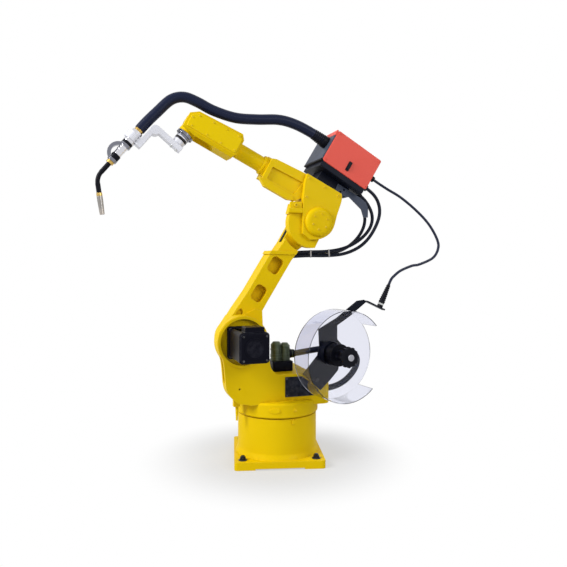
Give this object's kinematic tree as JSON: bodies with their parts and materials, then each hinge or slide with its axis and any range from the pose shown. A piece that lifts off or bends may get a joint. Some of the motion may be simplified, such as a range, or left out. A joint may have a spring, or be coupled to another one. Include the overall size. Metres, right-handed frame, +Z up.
{
  "type": "arc welding robot arm",
  "caption": "Articulated arc welding robot arm on a square foot: slewing turret, leaning lower arm, pitched forearm with wrist and bent torch, wire feeder on the elbow and a spool stand behind",
  "frame": {"origin": "slewing axis on the floor face of the foot plate", "axes": "+X the way the arm reaches, +Y toward the side with the shoulder motor, +Z up"},
  "size_m": [1.5026, 0.5331, 1.531],
  "materials": {
    "yellow": "gloss",
    "dark_steel": "satin",
    "motor_black": "satin",
    "olive": "satin",
    "black_metal": "satin",
    "clear": "clear",
    "black_plastic": "matt",
    "red_case": "gloss",
    "grey_plate": "satin",
    "silver": "satin",
    "chrome": "polished",
    "brass": "polished",
    "hose": "matt",
    "nozzle": "satin"
  },
  "bodies": {
    "base": {"base_pedestal": "yellow", "slew_ring": "dark_steel"},
    "turret": {"turret": "yellow", "turret_panel": "black_plastic", "shoulder_motor": "motor_black", "deck_motor": "motor_black", "motor_connectors": "olive", "spool_bracket": "black_metal", "spool_guard": "clear", "conduit_fitting": "black_plastic", "motor_cable": "hose"},
    "spindle": {"spool_spindle": "black_plastic", "spindle_knob": "black_plastic"},
    "lower_arm": {"lower_arm": "yellow", "cable_gland": "black_plastic"},
    "upper_arm": {"elbow_casting": "yellow", "elbow_cover": "yellow", "feeder_mount": "black_metal", "feeder_tray": "black_metal", "feeder_case": "red_case", "feeder_end": "grey_plate", "feeder_switch": "black_plastic", "hose_socket": "black_plastic", "cable_arm": "grey_plate", "feeder_glands": "black_plastic", "torch_hose": "hose", "wire_conduit": "hose", "feeder_cable_1": "hose", "feeder_cable_2": "hose", "feeder_cable_3": "hose"},
    "forearm": {"forearm_tube": "yellow", "wrist_housing": "yellow", "wrist_covers": "yellow"},
    "wrist": {"wrist_unit": "yellow"},
    "tool": {"tool_flange": "dark_steel", "tool_adapter": "silver", "torch_bracket": "silver", "torch_clamp": "silver", "torch_body": "chrome", "torch_grips": "black_plastic", "torch_loop": "chrome", "torch_brass": "brass", "torch_neck": "black_plastic", "gas_nozzle": "nozzle"}
  },
  "joints": [
    {"name": "j1_slew", "type": "hinge", "parent": "base", "child": "turret", "pos_m": [0, 0, 0.2], "axis": [0, 0, 1], "range_deg": [-183, 157]},
    {"name": "j2_shoulder", "type": "hinge", "parent": "turret", "child": "lower_arm", "pos_m": [0.182, 0, 0.512], "axis": [0, 1, 0], "range_deg": [-27, 113], "deforming": ["wire_conduit"]},
    {"name": "j3_elbow", "type": "hinge", "parent": "lower_arm", "child": "upper_arm", "pos_m": [-0.13553, 0, 1.00094], "axis": [0, -1, 0], "range_deg": [-60, 70], "deforming": ["feeder_cable_1", "feeder_cable_2", "feeder_cable_3"]},
    {"name": "j4_forearm_roll", "type": "hinge", "parent": "upper_arm", "child": "forearm", "pos_m": [-0.19463, 0, 1.11448], "axis": [0.887, 0, 0.4617], "range_deg": [-150, 150], "deforming": ["torch_hose"]},
    {"name": "j5_wrist_bend", "type": "hinge", "parent": "forearm", "child": "wrist", "pos_m": [0.35975, 0, 1.40308], "axis": [0, 1, 0], "range_deg": [-122, 42]},
    {"name": "j6_flange_turn", "type": "hinge", "parent": "wrist", "child": "tool", "pos_m": [0.35975, 0, 1.40308], "axis": [0.6428, 0, -0.766], "range_deg": [-360, 360]},
    {"name": "spool_spin", "type": "hinge", "parent": "turret", "child": "spindle", "pos_m": [-0.194, 0.134, 0.452], "axis": [-0.1908, 0.9816, 0], "continuous": true}
  ]
}
